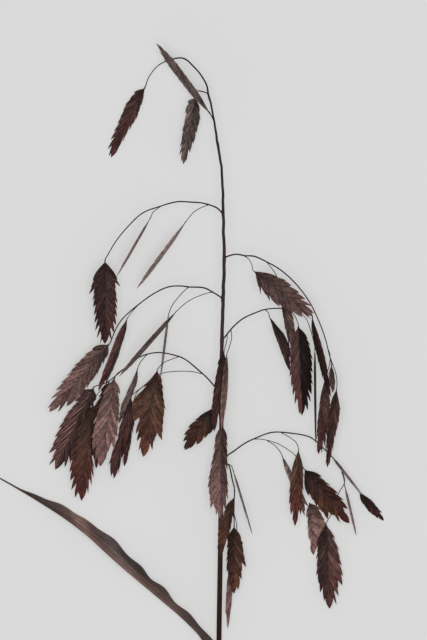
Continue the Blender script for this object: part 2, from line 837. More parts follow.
# Edges of the spikelets that show their flat, traced on the photograph in its pixels, x to the
# right and y down from its upper left corner. First the edge on the right hand of someone who walks
# from the foot to the tip, then the one on the left. Each has its shoulder and then its teeth. A
# tooth behind a deep notch gives the notch too.
EDGES = {
    "spikelet_01": (((139, 89), (133.5, 92.5), (124.5, 104.5), (117, 123.5), (113.5, 131),
                     (110.3, 139.2), (107.3, 148.7), (108.5, 155.7, 111, 146.5)),
                    ((143, 98), (136.3, 119), (129, 129.5), (122.8, 141.7), (115.2, 153.2))),
    "spikelet_02": (((190, 99.5), (188, 103), (185.5, 113.5), (182, 132), (180, 147), (179.2, 155),
                     (181.5, 161)),
                    ((198.5, 104), (200.5, 119.5), (196.5, 133), (193, 143.5), (189.5, 152.5),
                     (186.2, 161))),
    "spikelet_04": (((94.8, 274.4), (89, 294.4), (92.4, 300.8, 94.8, 288), (93.5, 307.6),
                     (94.1, 315.6), (94.5, 323.5), (95.2, 331), (96.8, 338.6), (100.3, 344.4)),
                    ((114.8, 273.2), (120.6, 286.8), (117.7, 303.5, 115, 282), (117.7, 309.5),
                     (117, 317), (116.2, 325.6), (114.5, 333.5), (111.8, 341))),
    "spikelet_07": (((121, 328), (115, 340), (108.5, 358), (102, 374), (98, 386)),
                    ((126.5, 328), (123.5, 340), (118, 358), (112, 372), (106, 384))),
    "spikelet_08": (((99.5, 344.8), (84, 355), (73.5, 366), (66.3, 376), (60.5, 383),
                     (55.5, 390.7), (50.2, 399), (47, 408.8)),
                    ((108.5, 352), (103, 364.5), (97, 376), (86.5, 388.5), (81, 396),
                     (75, 402.7), (66.2, 406.7), (57.8, 412.6))),
    "spikelet_09": (((84, 389.8), (75, 402), (65.5, 413.8), (58.2, 428.5), (54.5, 437.5),
                     (48.5, 453.5), (48.5, 465.5, 55.5, 450.5)),
                    ((96, 395), (92, 408), (86, 424), (80, 440), (75, 453), (70, 464.5),
                     (64.3, 467.5))),
    "spikelet_12": (((104, 386), (98, 398), (91, 410), (84, 424), (79, 436)),
                    ((111, 388), (106, 400), (99, 414), (92, 428), (86, 440))),
    "spikelet_13": (((109, 385), (103, 395), (98, 408), (94, 424), (91.5, 438.5), (93, 450),
                     (95.5, 460)),
                    ((117.5, 384), (120, 394.5), (120.6, 408), (119.5, 424), (117.5, 438),
                     (114.5, 449.8), (105.5, 459.8, 110, 446))),
    "spikelet_14": (((91.5, 426), (90, 436), (89, 446), (91, 458)),
                    ((99, 428), (100, 440), (99.5, 450), (98.5, 460))),
    "spikelet_15": (((134.5, 377), (130, 386), (126, 393.5), (121, 405), (119, 416)),
                    ((137.6, 378), (135, 388), (131, 398), (127, 408), (123, 418))),
    "spikelet_16": (((126, 409), (121, 420), (118, 431), (116.5, 443), (108.3, 465.3, 113.5, 448),
                     (111.3, 476.5)),
                    ((133, 405), (133, 420), (129, 436), (124, 450), (122, 463), (118.5, 474.5))),
    "spikelet_17": (((128, 410), (123, 430), (121, 446), (122, 458)),
                    ((135, 408), (135.5, 421), (132.5, 434), (131, 446), (127.5, 458))),
    "spikelet_18": (((149, 380.5), (143, 387.5), (131, 403), (133.5, 422), (135.8, 434, 137, 426),
                     (137, 441.5), (138.5, 451), (141.5, 457)),
                    ((160, 375.5), (164, 389.5), (165.8, 410), (162, 440.5),
                     (152.2, 450.3, 155.5, 434))),
    "spikelet_19": (((84, 420), (74, 434), (70.5, 450), (70, 462), (69.3, 472.5), (70.2, 481),
                     (71.2, 490.2), (75, 498)),
                    ((93.5, 415), (93.5, 430), (93, 445), (94, 460), (94.7, 471), (93.5, 478),
                     (91.5, 485.5), (88, 494))),
    "spikelet_20": (((220, 357.5), (217.5, 365.5), (214.5, 380), (212.5, 395), (211, 410),
                     (211.3, 426)),
                    ((226, 360), (226.5, 372), (224.5, 388), (222, 404), (219.5, 420))),
    "spikelet_21": (((224.5, 366), (222.3, 384), (221, 400), (220.5, 416)),
                    ((227.6, 368), (227.9, 386), (226.9, 398), (225, 412), (223.3, 424))),
    "spikelet_22": (((216.3, 434), (213.3, 450), (210, 467), (207.8, 480), (207.7, 488),
                     (210.5, 508.3), (216.3, 515, 213.5, 502)),
                    ((226.3, 433), (228, 447), (228.5, 459.5), (227.5, 470), (228.9, 487),
                     (228.3, 500), (225.5, 511))),
    "spikelet_23": (((203, 413.5), (194, 420.5), (188, 428), (184, 435.2), (183, 441.5),
                     (183.6, 448.6)),
                    ((213, 430), (204.5, 438.5), (196.5, 444.7), (190, 448.5))),
    "spikelet_24": (((228, 503), (223, 514), (218.3, 524), (217.6, 536), (217.3, 549)),
                    ((234.3, 508), (233, 518), (230.5, 531), (224, 548.5))),
    "spikelet_25": (((228.5, 535), (226.6, 549), (226, 562), (226.8, 572.3), (230, 587)),
                    ((239, 533), (243.5, 545), (246.4, 567.5), (241.6, 580, 242, 564),
                     (238, 590.5))),
    "spikelet_26": (((227.5, 580), (226, 596), (225.4, 614)),
                    ((231.8, 580), (231.9, 594), (230.9, 608.7), (228.7, 622))),
    "spikelet_28": (((256.5, 280), (260.5, 294.5), (270, 301.5, 262.2, 289.5),
                     (279.8, 306.5, 271.5, 299.5), (291.7, 312.8), (302.8, 317.2), (310.5, 319)),
                    ((268, 273.2), (286.7, 280.5), (291.7, 286), (299.5, 293), (305.5, 299.5),
                     (311.7, 306), (314.4, 314))),
    "spikelet_29": (((273.5, 331), (277.5, 343), (282.5, 356.5), (286.5, 365.5)),
                    ((278, 327), (285, 335), (290, 346), (292, 359))),
    "spikelet_30": (((281.5, 306), (283.3, 319.5), (285.5, 330.5), (289, 346)),
                    ((290, 306), (294, 320), (295.5, 333), (297, 347))),
    "spikelet_31": (((329.5, 370), (328.5, 378), (329, 388)),
                    ((334, 373), (335.4, 382), (334.4, 391))),
    "spikelet_32": (((319.5, 536), (316.8, 546), (316, 560), (316.4, 576), (320.5, 593.2),
                     (324.5, 601.8)),
                    ((331.5, 532), (335.5, 539.5), (339.7, 551), (342.3, 566.5), (343.2, 577),
                     (342.7, 586), (338.8, 597, 338, 581), (336.8, 605.5))),
    "spikelet_33": (((293, 336), (289.3, 352), (289, 366), (289.7, 377), (291.3, 387),
                     (292.8, 395.5), (294.8, 404.5), (299.4, 414.5)),
                    ((304.5, 333), (310.5, 345.5), (313, 360), (312.6, 373), (312.8, 385),
                     (311.5, 394.5), (310.9, 402), (307.8, 410.5))),
    "spikelet_34": (((311.4, 328), (314.5, 348), (318.5, 364), (322.5, 379), (327, 391)),
                    ((316, 328), (322.5, 346), (326, 360), (329, 376), (331.3, 389))),
    "spikelet_36": (((321.5, 392), (318.5, 408), (316.6, 426), (315.8, 441), (316.8, 453.5)),
                    ((329.5, 396), (331, 408), (329, 422), (327, 436), (325.6, 448),
                     (321.8, 453.6, 323, 444))),
    "spikelet_37": (((331.5, 400), (327.5, 420), (326, 436), (325.3, 452), (325.2, 465)),
                    ((338.5, 400), (340.5, 410.5), (338.7, 423.3), (335, 438), (333, 451),
                     (329.5, 465))),
    "spikelet_38": (((361.5, 501.5), (370, 513.2), (379, 519.5)),
                    ((366, 496.5), (373, 501), (382.7, 513.6))),
    "spikelet_41": (((304.5, 485), (309, 496), (317, 507), (328, 519.7), (340, 523, 329.5, 510)),
                    ((312, 471.5), (322, 477), (331, 485.5), (338.5, 494), (343.9, 500.5),
                     (348, 509.4))),
    "spikelet_42": (((293.2, 464), (290, 477), (289, 494), (289.2, 504.5), (291, 515),
                     (292.5, 521.5)),
                    ((302.5, 464), (304, 478), (303.5, 491), (302.5, 505), (300.7, 515),
                     (297.5, 521, 298.4, 510))),
    "spikelet_43": (((285, 467), (290, 480), (296, 494), (302, 508)),
                    ((288, 466), (295, 479), (303, 494), (308.5, 507))),
    "spikelet_44": (((307.5, 509), (307, 519), (307.5, 531), (309.5, 541), (311.5, 549)),
                    ((315, 505.5), (320, 510.5), (325.5, 521.4), (326.3, 531), (321, 541),
                     (316.3, 550))),
}

# Record slots of the spikelets by number; all others take the red brown one
SLOT_NUMBERS = {
    "husk_grey_brown": (3, 5, 6, 8, 10, 11, 13, 15, 21, 26, 40, 43, 44),
    "husk_olive_brown": (9, 19, 22, 28, 29, 30, 42),
    "husk_dark": (1, 14, 17, 20, 27, 34, 35, 38, 39),
}

# Centre line of the culm: x, y, z and radius, from the cut end to the drooping tip
CULM_ROUTE = (
    (14.5, -164.0, 2.10, 1.25),
    (14.5, -134.0, 4.60, 1.25),
    (15.1, -94.0, 8.10, 1.22),
    (15.5, -59.0, 11.0, 1.15),
    (15.8, -11.0, 14.2, 1.00),
    (15.8, 11.0, 15.2, 0.90),
    (16.6, 36.0, 16.2, 0.85),
    (17.0, 56.0, 17.0, 0.80),
    (16.6, 80.0, 17.3, 0.70),
    (16.0, 98.5, 16.0, 0.60),
    (13.9, 113.6, 14.2, 0.60),
    (11.7, 127.0, 12.7, 0.48),
    (9.6, 137.3, 11.5, 0.48),
    (7.5, 145.3, 10.6, 0.40),
    (3.0, 151.5, 9.8, 0.38),
    (-2.8, 156.7, 9.0, 0.38),
    (-8.6, 156.6, 8.3, 0.34),
    (-15.8, 153.6, 7.0, 0.26),
    (-20.2, 148.4, 5.4, 0.23),
)

# The spikelet that ends the culm
CULM_SPIKELET = "spikelet_01"

# Slightly swollen rings of the culm: height along it
CULM_NODES = (-142.0, -44.5, -11.0, 15.5, 36.8, 56.2, 79.2, 113.6, 137.3)

# Pedicels that leave the culm itself: spikelet and points on the way
CULM_PEDICELS = (
    ("spikelet_02", ((9.6, 137.3, 11.5), (9.0, 138.9, 11.3), (7.7, 139.8, 11.0),
                     (5.5, 140.4, 10.6), (3.8, 140.5, 10.2))),
    ("spikelet_03", ((12.4, 124.0, 13.0), (11.5, 126.4, 14.5))),
    ("spikelet_22", ((15.7, -18.0, 13.7), (16.5, -21.5, 16.2))),
)

# Branches: first the point inside the culm that they leave, then the main thread and the
# spikelet that ends it, then the side threads from the thread that carries each
BRANCHES = {
    "branch_1": ((16.3, 79.0, 17.3), (
        ("spikelet_04", ((15.2, 80.4, 17.1), (12.6, 82.4, 17.2), (6.6, 84.3, 17.1),
                         (1.0, 84.8, 17.0), (-6.6, 85.0, 16.9), (-15.0, 82.7, 16.7),
                         (-23.8, 79.3, 16.5), (-31.0, 72.6, 16.2), (-36.7, 65.7, 15.8),
                         (-40.8, 59.0, 15.3))),
        ("spikelet_05", ((-14.2, 83.0, 16.7), (-18.3, 80.0, 15.8))),
        ("spikelet_06", ((9.2, 83.5, 17.1), (5.0, 81.8, 16.2), (1.5, 79.5, 15.0))),
    )),
    "branch_2": ((16.4, 36.2, 16.2), (
        ("spikelet_08", ((15.3, 37.4, 16.2), (11.7, 39.7, 16.1), (6.8, 42.1, 15.9),
                         (-0.4, 42.5, 15.4), (-4.7, 43.0, 15.1), (-10.9, 42.5, 14.6),
                         (-17.9, 39.3, 13.9), (-25.5, 33.9, 13.0), (-32.8, 27.6, 11.9),
                         (-36.8, 22.0, 11.2))),
        ("spikelet_10", ((11.4, 39.9, 16.1), (8.2, 39.3, 16.2), (2.1, 37.0, 16.3),
                         (-2.1, 34.5, 16.3))),
        ("spikelet_11", ((-0.4, 42.5, 15.4), (-2.9, 40.6, 14.2), (-7.5, 35.3, 11.0),
                         (-9.6, 31.9, 8.8))),
        ("spikelet_07", ((-24.8, 34.5, 13.1), (-28.4, 30.8, 13.6))),
    )),
    "branch_3": ((15.7, -11.0, 14.1), (
        ("spikelet_09", ((14.3, -9.6, 13.8), (9.0, -3.4, 12.9), (4.0, 1.2, 12.3),
                         (-2.9, 6.6, 11.7), (-9.8, 8.9, 11.4), (-17.0, 9.7, 11.0),
                         (-25.1, 7.5, 10.5), (-33.1, 1.6, 10.5), (-40.0, -4.2, 10.2),
                         (-44.6, -6.4, 8.6))),
        ("spikelet_13", ((-33.6, 1.2, 10.5), (-36.2, -0.6, 11.6))),
        ("spikelet_12", ((-35.6, -0.6, 10.5), (-37.0, -1.8, 9.0))),
        ("spikelet_19", ((-41.0, -4.9, 10.0), (-44.2, -8.5, 9.9), (-46.8, -11.8, 9.7))),
        ("spikelet_14", ((-40.2, -4.3, 10.2), (-42.4, -9.0, 9.7), (-44.6, -15.0, 8.6),
                         (-45.8, -19.0, 7.7))),
        ("spikelet_15", ((-21.3, 9.0, 10.7), (-24.6, 5.2, 10.4))),
        ("spikelet_18", ((-5.6, 7.7, 11.6), (-9.4, 6.3, 12.2), (-13.2, 4.6, 13.0))),
        ("spikelet_16", ((6.3, -0.9, 12.6), (0.2, 0.3, 11.9), (-7.9, 0.3, 11.1),
                         (-14.0, -0.7, 10.4), (-19.0, -3.5, 10.0), (-24.0, -7.6, 9.8))),
        ("spikelet_17", ((-24.0, -7.6, 9.8), (-26.4, -10.0, 8.2))),
        ("spikelet_23", ((12.6, -7.6, 13.5), (12.9, -11.8, 12.6))),
    )),
    "branch_4": ((17.0, 56.4, 17.0), (
        ("spikelet_31", ((18.3, 57.6, 17.1), (22.9, 58.8, 17.3), (27.5, 58.1, 17.3),
                         (32.4, 57.7, 17.2), (38.7, 54.8, 17.0), (44.5, 51.5, 16.7),
                         (50.3, 46.7, 16.2), (55.7, 40.7, 15.6), (60.2, 34.1, 15.0),
                         (64.4, 25.4, 14.4), (67.5, 17.0, 14.2), (69.4, 9.5, 14.2))),
        ("spikelet_28", ((26.8, 58.2, 17.3), (29.4, 56.3, 17.2), (30.8, 53.8, 17.1))),
        ("spikelet_30", ((38.0, 55.2, 17.0), (41.0, 51.6, 15.4), (43.4, 47.6, 13.8))),
        ("spikelet_37", ((69.7, 8.2, 14.2), (72.4, 0.8, 13.9), (73.4, -4.0, 13.4))),
        ("spikelet_36", ((68.6, 12.6, 14.2), (70.0, 8.4, 11.8), (69.6, 3.0, 10.2))),
    )),
    "branch_5": ((15.9, 15.5, 15.4), (
        ("spikelet_34", ((17.5, 17.6, 15.6), (21.7, 22.7, 15.5), (26.6, 26.8, 15.4),
                         (32.9, 29.7, 15.2), (38.2, 31.4, 15.0), (45.7, 31.8, 14.8),
                         (51.0, 30.4, 14.5), (55.5, 30.2, 14.4))),
        ("spikelet_29", ((37.6, 31.2, 15.0), (39.2, 29.6, 14.8))),
        ("spikelet_33", ((50.4, 30.7, 14.5), (52.6, 27.6, 14.2))),
        ("spikelet_35", ((55.2, 30.2, 14.4), (58.6, 25.6, 12.6), (61.0, 18.6, 10.4))),
        ("spikelet_20", ((18.6, 19.2, 15.6), (18.4, 16.0, 17.4))),
        ("spikelet_21", ((20.4, 21.5, 15.5), (20.8, 17.0, 18.6), (19.4, 11.8, 22.0))),
    )),
    "branch_6": ((15.6, -44.6, 12.0), (
        ("spikelet_38", ((17.3, -42.6, 12.2), (21.7, -39.7, 12.0), (27.0, -35.9, 11.4),
                         (32.5, -33.2, 10.5), (41.2, -30.2, 9.2), (51.0, -30.7, 7.8),
                         (58.9, -32.2, 6.6), (62.8, -34.5, 6.0), (67.0, -38.4, 5.6),
                         (73.0, -44.6, 5.3), (76.6, -49.9, 5.2), (80.2, -54.4, 5.0))),
        ("spikelet_41", ((31.8, -33.5, 10.6), (36.9, -33.8, 10.2), (43.8, -35.8, 9.4),
                         (49.8, -39.4, 8.3), (52.8, -42.0, 7.6), (55.3, -45.4, 7.3))),
        ("spikelet_42", ((45.6, -30.3, 8.6), (50.3, -33.0, 9.2), (53.2, -35.4, 9.7))),
        ("spikelet_43", ((38.6, -34.3, 10.0), (42.7, -37.0, 8.8), (44.9, -39.7, 7.0))),
        ("spikelet_32", ((74.4, -46.6, 5.3), (77.0, -52.0, 4.8), (77.2, -56.0, 4.3),
                         (74.6, -60.6, 3.6), (70.8, -71.0, 3.6))),
        ("spikelet_40", ((76.0, -50.0, 5.0), (77.0, -53.4, 5.0))),
        ("spikelet_39", ((65.6, -37.2, 5.7), (68.4, -39.4, 8.4))),
    )),
    "branch_7": ((15.7, -43.8, 12.1), (
        ("spikelet_25", ((17.2, -45.2, 12.0), (19.3, -46.4, 12.0), (20.3, -49.6, 11.9),
                         (21.2, -54.2, 11.7), (22.2, -58.2, 11.5), (22.1, -64.0, 11.2),
                         (22.0, -70.0, 10.7))),
        ("spikelet_24", ((21.8, -56.6, 11.6), (22.4, -58.8, 13.2))),
        ("spikelet_27", ((18.8, -46.0, 12.0), (20.6, -46.8, 11.6))),
        ("spikelet_26", ((22.0, -71.0, 10.6), (23.4, -77.0, 8.2), (22.8, -84.0, 6.6),
                         (21.4, -92.0, 5.4))),
    )),
}

# Leaf blade: x, y, z, width and roll in degrees, from the collar to its tip
BLADE_ROUTE = (
    (13.9, -145.0, 5.5, 4.4, 0),
    (11.2, -139.0, 6.3, 5.4, 20),
    (6.4, -130.6, 6.4, 5.6, 42),
    (-3.6, -120.6, 6.2, 6.0, 48),
    (-12.0, -112.9, 5.8, 6.2, 36),
    (-21.6, -104.3, 5.4, 6.6, 24),
    (-31.0, -96.2, 5.0, 6.8, 8),
    (-42.0, -86.0, 4.6, 7.8, -14),
    (-52.0, -78.3, 4.2, 6.6, -26),
    (-63.0, -70.5, 3.8, 5.6, -20),
    (-74.0, -64.6, 3.2, 3.2, -10),
    (-84.6, -59.3, 2.6, 1.15, -4),
    (-96.0, -53.0, 1.8, 0.6, 0),
)


def foot_and_way(node: str) -> tuple[Vector, Vector]:
    """Return the foot of a spikelet and the unit direction from there to its tip."""
    foot, tip = (Vector(point) for point in SPIKELETS[node][:2])
    return foot, (tip - foot).normalized()


class Spikelet:
    """One flat spikelet: two glumes and two ranks of folded, keeled scales."""

    # Teeth: their spacing in millimetres and its most as a share of the length, and the places of
    # the first and last one as shares of the length where the edge isn't traced
    PITCH = 3.9
    PITCH_SHARE = 0.13
    FIRST_TIP = 0.30
    LAST_TIP = 0.96
    FEWEST_TEETH = 3

    # Notches behind the teeth, low down, at the tip and between flush scales, in millimetres on a
    # spikelet that is at least the last width across
    NOTCH = 0.80
    TIP_NOTCH = 2.2
    FLUSH_NOTCH = 0.30
    FULL_DEPTH_WIDTH = 13.0

    # Scales: points along and across one face, the height of a rim over the scale beside it in
    # millimetres, and the least length, as a share of the spikelet and by the height of its tooth
    ROWS = 13
    COLUMNS = 12
    STEP = 0.50
    LENGTH_SHARE = 0.38
    LENGTH_BY_TOOTH = 1.45

    # The core: points along and across one face, where it starts and ends as shares of the
    # length, and its width as a share of the whole
    CORE_ROWS = 15
    CORE_COLUMNS = 9
    CORE_START = 0.03
    CORE_END = 0.93
    CORE_WIDTH = 0.62

    # Half widths in millimetres at the foot and the tip, and the least one of the plump body
    FOOT_HALF = 0.3
    TIP_HALF = 0.1
    LEAST_HALF = 0.3

    # Half width by place along, both as shares, where the edge isn't traced
    OUTLINE = ((0.0, 0.10), (0.10, 0.42), (0.20, 0.72), (0.34, 0.93), (0.52, 1.0), (0.70, 0.97),
               (0.84, 0.80), (0.93, 0.52), (1.0, 0.06))

    def __init__(self, size: SpikeletSize) -> None:
        """Work out the spikelet's axes and edges.

        Args:
            size: Its place and shape.
        """
        self.size = size
        self.draw = random.Random(f"{SEED}{size.node}")
        self.start = Vector(size.foot)
        span = Vector(size.tip) - self.start
        self.length = span.length
        self.along = span.normalized()
        self.across, self.normal = flat_axes(self.along, size.roll)
        self.half = size.width / 2
        self.pitch = min(self.PITCH, self.PITCH_SHARE * self.length)
        self.plump = size.plump * min(1.5, max(0.7, 0.09 * size.width + 0.3))
        self.step = self.STEP * min(1.0, 1.2 * size.plump)
        self.depth = min(1.0, size.width / self.FULL_DEPTH_WIDTH)
        self.edges = self.trace()
        self.profiles = {side: self.profile(side) for side in SIDES}
        self.margins: list[list[Vector]] = []

    def place(self, local: Vector) -> Vector:
        """Take a point from the spikelet's own flat space into the seed head's space.

        Args:
            local: The point: across, along and out of the flat.

        Returns:
            The point in the seed head's space, held up off the surface.
        """
        point = self.start + self.across * local.x + self.along * local.y + self.normal * local.z
        return held_up(point)

    def from_photo(self, x: float, y: float) -> Vector:
        """Take a spot of the photograph into the spikelet's own flat space.

        Args:
            x: Pixels to the right in the photograph.
            y: Pixels down in the photograph.

        Returns:
            The spot on the flat that is seen there from straight above.
        """
        away = Vector(((x - PHOTO_ZERO[0]) * PIXEL_SIZE,
                       (PHOTO_ZERO[1] - y) * PIXEL_SIZE)) - self.start.xy
        area = self.across.x * self.along.y - self.along.x * self.across.y
        return Vector(((away.x * self.along.y - self.along.x * away.y) / area,
                       (self.across.x * away.y - away.x * self.across.y) / area, 0.0))

    def trace(self) -> dict[float, Teeth]:
        """Find both edges.

        Returns:
            By side, each tooth with the spot below it that its keel hugs.
        """
        if self.size.node in EDGES:
            return {side: self.traced_edge(traced, side)
                    for side, traced in zip(SIDES, EDGES[self.size.node])}
        return {side: self.ruled_edge(side) for side in SIDES}

    def traced_edge(self, traced: Sequence[Sequence[float]], side: float) -> Teeth:
        """Find the teeth of an edge that was traced on the photograph.

        Args:
            traced: Its shoulder and its teeth in the photograph.
            side: -1 or 1, the edge's side.

        Returns:
            Each tooth with the spot that its keel hugs.
        """
        below = self.from_photo(*traced[0])
        teeth: Teeth = []
        for tooth in traced[1:]:
            tip = self.from_photo(*tooth[:2])
            hug = self.from_photo(*tooth[2:]) if len(tooth) > 2 else below
            teeth.extend(self.fill(hug, tip, side))
            below = self.sunk(tip, side, self.notch(tip.y))
        return teeth

    def ruled_edge(self, side: float) -> Teeth:
        """Space out the teeth of an edge that wasn't traced, by rule and a little chance.

        Args:
            side: -1 or 1, the edge's side.

        Returns:
            Each tooth with the spot that its keel hugs.
        """
        toothed = self.LAST_TIP - self.FIRST_TIP
        count = max(self.FEWEST_TEETH, round(toothed * self.length / self.pitch))
        pitch = toothed / count
        share = self.FIRST_TIP * 0.6
        below = Vector((side * self.half * between(self.OUTLINE, share), share * self.length, 0.0))
        teeth: Teeth = []
        for index in range(count + 1):
            share = self.FIRST_TIP + pitch * (index + (0.5 if side < 0 else 0.0))
            share += self.draw.uniform(-0.10, 0.10) * pitch
            reach = self.half * between(self.OUTLINE, share) * self.draw.uniform(0.97, 1.03)
            tip = Vector((side * reach, share * self.length, 0.0))
            if share < 0.99:
                teeth.append((tip, below))
            below = self.sunk(tip, side, self.notch(tip.y))
        return teeth

    @staticmethod
    def sunk(spot: Vector, side: float, depth: float) -> Vector:
        """Return a spot moved in from the edge on its side, towards the spikelet's axis."""
        return spot - Vector((side * depth, 0.0, 0.0))

    def notch(self, y: float) -> float:
        """Return how far in the next keel starts at a length along the spikelet."""
        return self.depth * blend(self.NOTCH, self.TIP_NOTCH, ease(0.66, 1.0, y / self.length))

    def fill(self, below: Vector, tip: Vector, side: float) -> Teeth:
        """Set flush scales on the way to a tooth, where the edge below it runs long.

        Args:
            below: Where that edge starts.
            tip: The tooth.
            side: -1 or 1, the edge's side.

        Returns:
            Each flush scale's point and then the tooth, with the spots that their keels hug.
        """
        count = max(1, round((tip.y - below.y) / self.pitch))
        teeth: Teeth = []
        hug = below
        for index in range(1, count + 1):
            spot = below.lerp(tip, index / count)
            teeth.append((spot, hug))
            hug = self.sunk(spot, side, self.depth * self.FLUSH_NOTCH)
        return teeth

    def profile(self, side: float) -> list[tuple[float, float]]:
        """Lay out the half width of one side.

        Args:
            side: -1 or 1.

        Returns:
            A table of the length along the spikelet and the half width there.
        """
        teeth = self.edges[side]
        spots = [teeth[0][1], *(tip for tip, _ in teeth)]
        return sorted([(0.0, self.FOOT_HALF), *((spot.y, side * spot.x) for spot in spots),
                       (self.length, self.TIP_HALF)])

    def reach(self, side: float, y: float) -> float:
        """Return the half width of one side at a length along the spikelet."""
        return between(self.profiles[side], max(0.0, y))

    def thickness(self, x: float, y: float) -> float:
        """Work out the half thickness of the plump body.

        Args:
            x: The place across the flat.
            y: The place along it.

        Returns:
            The half thickness there in millimetres.
        """
        share = min(1.0, max(0.0, y / self.length))
        reach = max(self.LEAST_HALF, self.reach(1.0 if x > 0 else -1.0, y))
        bulge = max(0.0, 1.0 - (x / reach) ** 2) ** 0.6
        ends = ease(0.0, 0.22, share) * (1.0 - 0.8 * ease(0.55, 1.0, share))
        return self.plump * bulge * ends

    def half_light(self, extra: float) -> float:
        """Return half the lightness of a spot that is lighter than the rest by a share."""
        return HALF_LIGHT * self.size.light * (1.0 + extra)

    def add_scale(self, shell: Shell, root: Vector, tip: Vector, hug: Vector, side: float) -> None:
        """Add one folded scale as a closed body, the same on both faces.

        Args:
            shell: The mesh that takes it.
            root: Where it leaves the spikelet's axis, on the flat.
            tip: Its free point, on the flat.
            hug: The spot near the outline that its keel passes through.
            side: -1 or 1, the rank that it stands in.
        """
        length = tip.y - root.y
        chance = self.draw.random()
        bend = min(0.72, max(0.30, (hug.y - root.y) / length))
        rest = 1.0 - bend
        control = (hug - root * rest * rest - tip * bend * bend) / (2 * bend * rest)
        keel = (root, control, tip)
        margin = (root + Vector((-side * 0.05 * self.half, 0.02 * length, 0.0)),
                  Vector((-side * 0.06 * self.half, root.y + 0.50 * length, 0.0)), tip)
        light = self.half_light(side * self.size.tilt)
        spots: list[Spot] = []
        for face in FACES:
            for a in steps(self.ROWS):
                low = curve_point(keel, a)
                high = curve_point(margin, a)
                rise = self.step * ease(0.0, 0.35, a) * (1.0 - a ** 3)
                for b in steps(self.COLUMNS):
                    flat = low.lerp(high, b)
                    body = self.thickness(flat.x, flat.y) * (1.0 - a ** 6)
                    height = 0.10 + body * (0.35 + 0.65 * ease(0.0, 0.4, b)) + rise * b
                    height *= 1.0 - 0.3 * ease(0.75, 1.0, a)
                    spots.append((self.place(Vector((flat.x, flat.y, height * face))),
                                  (a, b, chance),
                                  (flat.y / self.length, light, self.crease(flat))))
        faces = lens_faces(self.ROWS, self.COLUMNS)
        shell.add(spots, turned_over(faces) if side > 0 else faces)
        self.margins.append([curve_point(margin, step / 8) for step in range(1, 9)])

    def add_core(self, shell: Shell) -> None:
        """Add the smooth body under the scales: the stacked florets round their axis.

        Args:
            shell: The mesh that takes it.
        """
        spots: list[Spot] = []
        for face in FACES:
            for row in steps(self.CORE_ROWS):
                share = blend(self.CORE_START, self.CORE_END, row)
                y = share * self.length
                wide = self.CORE_WIDTH * (1.0 - 0.35 * ease(0.7, self.CORE_END, share))
                low = -wide * self.reach(-1.0, y)
                high = wide * self.reach(1.0, y)
                for column in steps(self.CORE_COLUMNS):
                    x = blend(low, high, column)
                    height = 0.06 + 0.8 * self.thickness(x, y)
                    light = self.half_light(math.copysign(self.size.tilt, x))
                    spots.append((self.place(Vector((x, y, height * face))),
                                  (0.5, 0.5 + 0.05 * abs(x), EVEN), (share, light, 0.7)))
        shell.add(spots, turned_over(lens_faces(self.CORE_ROWS, self.CORE_COLUMNS)))

    def crease(self, flat: Vector) -> float:
        """Work out how deep a spot lies in the crease under a lower scale's rim.

        Args:
            flat: The spot on the flat.

        Returns:
            Its depth, from 0 to 1.
        """
        depth = 0.0
        for margin in self.margins[-3:]:
            for start, end in zip(margin, margin[1:]):
                span = end - start
                share = min(1.0, max(0.0, (flat - start).dot(span) / max(1e-6, span.dot(span))))
                gap = (flat - start - span * share).length
                depth = max(depth, math.exp(-((gap / 0.5) ** 2)))
        return depth * blend(0.3, 1.0, ease(0.0, 0.3, abs(flat.x) / self.half))

    def add_glumes(self, shell: Shell) -> None:
        """Add the two short glumes at the foot.

        Args:
            shell: The mesh that takes them.
        """
        for side in SIDES:
            first = self.edges[side][0][1]
            tip = Vector((first.x * 0.8, max(0.12 * self.length, first.y * 0.9), 0.0))
            hug = Vector((first.x * 0.5, tip.y * 0.45, 0.0))
            self.add_scale(shell, Vector((0.0, -0.2, 0.0)), tip, hug, side)

    def add_ranks(self, shell: Shell) -> None:
        """Add the scales of both ranks, from the lowest to the highest.

        Args:
            shell: The mesh that takes them.
        """
        scales = [(side, tip, hug) for side in SIDES for tip, hug in self.edges[side]]
        for side, tip, hug in sorted(scales, key=lambda entry: entry[1].y):
            length = max(self.LENGTH_SHARE * self.length, self.LENGTH_BY_TOOTH * (tip.y - hug.y))
            root = Vector((-side * 0.04 * self.half, max(0.0, tip.y - length), 0.0))
            self.add_scale(shell, root, tip, hug, side)

    def add_end_pair(self, shell: Shell) -> None:
        """Add the two narrow scales that close the tip.

        Args:
            shell: The mesh that takes them.
        """
        tip = Vector((0.0, self.length, 0.0))
        root = Vector((0.0, 0.74 * self.length, 0.0))
        for side in SIDES:
            hug = Vector((side * 0.30 * self.half, 0.90 * self.length, 0.0))
            self.add_scale(shell, root, tip, hug, side)

    def build(self, material: bpy.types.Material) -> bpy.types.Object:
        """Build the spikelet.

        Args:
            material: Its husk.

        Returns:
            Its mesh object.
        """
        shell = Shell(f"{self.size.node}_husks")
        self.add_core(shell)
        self.add_glumes(shell)
        self.add_ranks(shell)
        self.add_end_pair(shell)
        return shell.build(material)


@dataclass(frozen=True)
class ThreadSize:
    """A thread's radii at its two ends and the shape of both, in millimetres.

    It lines up with its spikelet at the lead-in before the foot and ends inside it. It swells by
    a share at both ends, within the two spans.
    """

    start: float
    end: float
    lead_in: float = 1.3
    sunk: float = 0.35
    uneven: float = 0.10
    foot_swell: float = 0.35
    foot_span: float = 1.6
    start_swell: float = 0.45
    start_span: float = 1.8
    sides: int = 10
    step: float = 0.8


